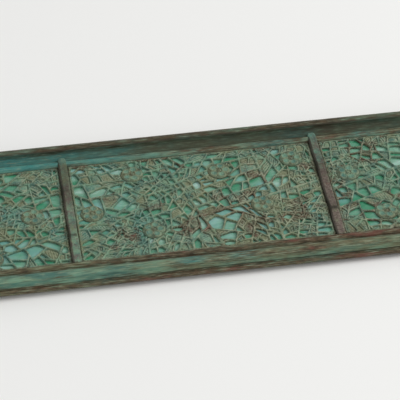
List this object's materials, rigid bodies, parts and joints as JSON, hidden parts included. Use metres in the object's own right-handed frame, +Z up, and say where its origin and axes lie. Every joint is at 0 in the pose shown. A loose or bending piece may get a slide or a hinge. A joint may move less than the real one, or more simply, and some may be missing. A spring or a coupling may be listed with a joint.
{
  "type": "pen tray",
  "caption": "Long low desk tray for pens: mitred moulded rim, pierced bronze floor over streaky glass, cross bars with hollows that keep pens apart, low button feet.",
  "frame": {"origin": "middle of the tray, on the surface that it stands on", "axes": "+X along the tray, +Y from the front side to the back side, +Z up"},
  "size_m": [0.248, 0.076, 0.0077],
  "materials": {
    "rim_bronze": "verdigris patina, worn",
    "openwork_bronze": "verdigris patina, etched relief",
    "rest_bronze": "brown patina, rubbed smooth",
    "plate_bronze": "brown patina",
    "foot_bronze": "verdigris patina, turned",
    "slag_glass": "opalescent green and white streaks",
    "fastener_brass": "dull"
  },
  "bodies": {
    "root": {"front_rail": "rim_bronze", "back_rail": "rim_bronze", "left_rail": "rim_bronze", "right_rail": "rim_bronze", "left_openwork": "openwork_bronze", "centre_openwork": "openwork_bronze", "right_openwork": "openwork_bronze", "left_glass": "slag_glass", "centre_glass": "slag_glass", "right_glass": "slag_glass", "left_pen_rest": "rest_bronze", "right_pen_rest": "rest_bronze", "back_plate": "plate_bronze", "front_left_foot": "foot_bronze", "front_right_foot": "foot_bronze", "back_left_foot": "foot_bronze", "back_right_foot": "foot_bronze", "plate_screws": "fastener_brass", "rest_nuts": "fastener_brass"}
  },
  "joints": []
}
